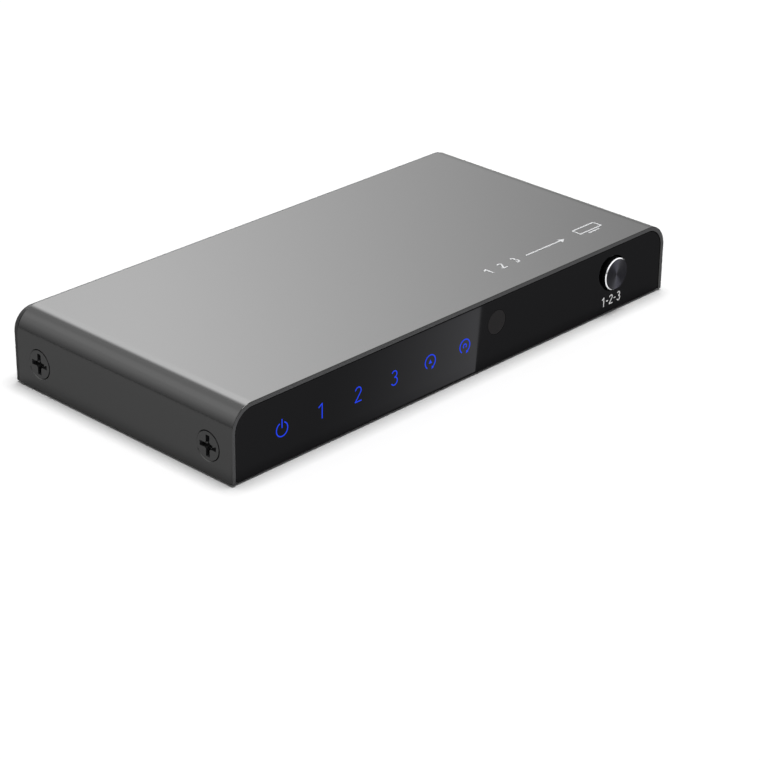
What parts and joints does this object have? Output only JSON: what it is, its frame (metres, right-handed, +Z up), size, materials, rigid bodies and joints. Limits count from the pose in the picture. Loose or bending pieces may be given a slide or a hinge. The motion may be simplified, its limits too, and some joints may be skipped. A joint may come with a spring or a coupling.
{
  "type": "hdmi switch box",
  "caption": "Slim video switch box: satin grey bent metal cover, glossy black front panel with light marks, round push button, and video sockets and a power jack on the back.",
  "frame": {"origin": "centre of the underside, on the plane that the feet stand on", "axes": "+X to the right seen from the front, +Y towards the back, +Z up"},
  "size_m": [0.13, 0.0662, 0.0164],
  "materials": {
    "cover_metal": "satin anodised",
    "tray_paint": "satin painted",
    "screw_black": "black zinc plated",
    "zinc_steel": "zinc plated",
    "panel_gloss": "glossy",
    "tape_black": "matte",
    "window_smoke": "glossy",
    "screw_steel": "nickel plated",
    "foot_rubber": "matte",
    "board_green": "semi-gloss",
    "socket_steel": "tin plated",
    "moulded_black": "matte",
    "contact_gold": "gold plated",
    "chip_black": "matte",
    "ferrite": "matte",
    "can_metal": "satin",
    "lamp_white": "glossy",
    "guide_clear": "clear",
    "button_metal": "spun, dark anodised"
  },
  "bodies": {
    "box": {"top_cover": "cover_metal", "base_tray": "tray_paint", "rear_panel": "tray_paint", "front_panel": "panel_gloss", "panel_tape": "tape_black", "ir_window": "window_smoke", "cover_screws": "screw_black", "rubber_feet": "foot_rubber", "main_board": "board_green", "board_standoffs": "zinc_steel", "board_screws": "screw_steel", "input_1_shell": "socket_steel", "input_1_insulator": "moulded_black", "input_1_contacts": "contact_gold", "input_2_shell": "socket_steel", "input_2_insulator": "moulded_black", "input_2_contacts": "contact_gold", "input_3_shell": "socket_steel", "input_3_insulator": "moulded_black", "input_3_contacts": "contact_gold", "output_shell": "socket_steel", "output_insulator": "moulded_black", "output_contacts": "contact_gold", "power_jack_body": "moulded_black", "power_jack_pin": "socket_steel", "power_jack_spring": "socket_steel", "switch_chip": "chip_black", "signal_boosters": "chip_black", "control_chip": "chip_black", "memory_chips": "chip_black", "regulator": "chip_black", "inductor": "ferrite", "capacitors": "can_metal", "crystal": "can_metal", "ir_receiver": "chip_black", "ir_receiver_leads": "socket_steel", "indicator_lamps": "lamp_white", "light_guides": "guide_clear", "light_holder": "moulded_black", "switch_body": "moulded_black", "switch_frame": "socket_steel", "switch_dome": "socket_steel"},
    "button": {"button_cap": "button_metal", "button_stem": "moulded_black"},
    "plunger": {"switch_plunger": "moulded_black"}
  },
  "joints": [
    {"name": "button_slide", "type": "slide", "parent": "box", "child": "button", "axis": [0, 1, 0], "range_m": [0, 0.0004], "stiffness_N_per_m": 1500, "springref_m": -0.0007},
    {"name": "plunger_slide", "type": "slide", "parent": "box", "child": "plunger", "axis": [0, 1, 0], "range_m": [0, 0.0004], "deforming": ["switch_dome"]}
  ],
  "couplings": [
    {"joint": "plunger_slide", "follows": "button_slide", "ratio": 1}
  ]
}
